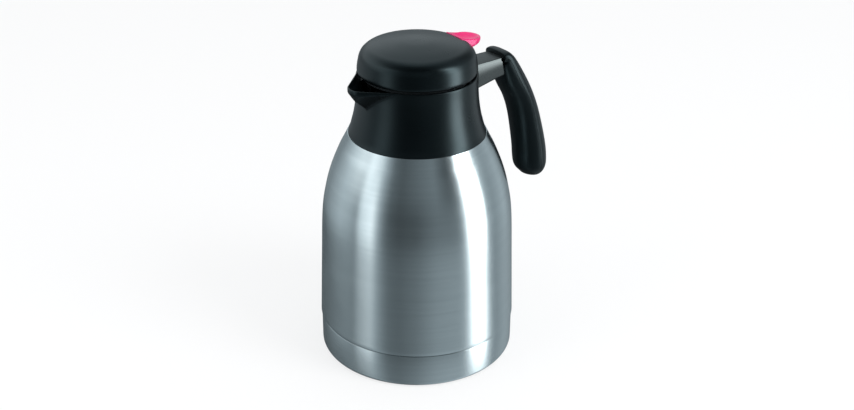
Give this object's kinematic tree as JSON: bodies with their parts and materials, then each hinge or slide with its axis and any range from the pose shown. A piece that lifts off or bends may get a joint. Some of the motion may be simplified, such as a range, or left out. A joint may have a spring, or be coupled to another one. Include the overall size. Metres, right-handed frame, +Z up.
{
  "type": "vacuum jug with screw-in lid",
  "caption": "Brushed steel vacuum jug with a black collar, spout and open-ended handle, a screw-in lid and a thumb lever that opens a pouring valve.",
  "frame": {"origin": "centre of the foot, on the surface that the jug stands on", "axes": "+Z up along the jug's axis, +X from the axis towards the handle, so the spout points to -X"},
  "size_m": [0.1766, 0.1324, 0.2191],
  "materials": {
    "body_steel": "satin, brushed round the body",
    "flask_steel": "polished inside",
    "black_plastic": "fine grain, half matt",
    "stopper_plastic": "matt",
    "lever_plastic": "glossy",
    "seal_rubber": "soft, matt",
    "pin_steel": "drawn wire"
  },
  "bodies": {
    "vessel": {"outer_shell": "body_steel", "base_cup": "body_steel", "vacuum_bottom": "flask_steel", "seal_tip": "flask_steel", "inner_flask": "flask_steel", "collar": "black_plastic", "neck_gasket": "seal_rubber", "handle_arm": "black_plastic", "grip_outer": "black_plastic", "grip_inner": "black_plastic", "grip_pins": "pin_steel"},
    "seal_ring": {"plug_gasket": "seal_rubber"},
    "lid": {"stopper_body": "stopper_plastic", "lid_floor": "stopper_plastic", "stem_seal": "seal_rubber", "lid_cap": "black_plastic", "cap_screws": "pin_steel", "lever_pin": "pin_steel", "return_spring": "pin_steel"},
    "lever": {"thumb_lever": "lever_plastic"},
    "valve": {"valve_stem": "pin_steel", "valve_disc": "stopper_plastic", "valve_seal": "seal_rubber"}
  },
  "joints": [
    {"name": "lid_rise", "type": "slide", "parent": "vessel", "child": "seal_ring", "axis": [0, 0, 1], "range_m": [0, 0.006]},
    {"name": "lid_turn", "type": "hinge", "parent": "seal_ring", "child": "lid", "pos_m": [0, 0, 0.19], "axis": [0, 0, 1], "range_deg": [0, 81]},
    {"name": "lever_press", "type": "hinge", "parent": "lid", "child": "lever", "pos_m": [0.022, 0, 0.204], "axis": [0, 1, 0], "range_deg": [0, 12.5], "stiffness_Nm_per_rad": 0.001, "springref_deg": -17.19},
    {"name": "valve_lift", "type": "slide", "parent": "lid", "child": "valve", "axis": [0, 0, 1], "range_m": [0, 0.0046], "stiffness_N_per_m": 200, "springref_m": -0.0025, "deforming": ["return_spring"]}
  ],
  "couplings": [
    {"joint": "lid_turn", "follows": "lid_rise", "rad_per_m": 232.71},
    {"joint": "lever_press", "follows": "valve_lift", "rad_per_m": 45.455}
  ]
}
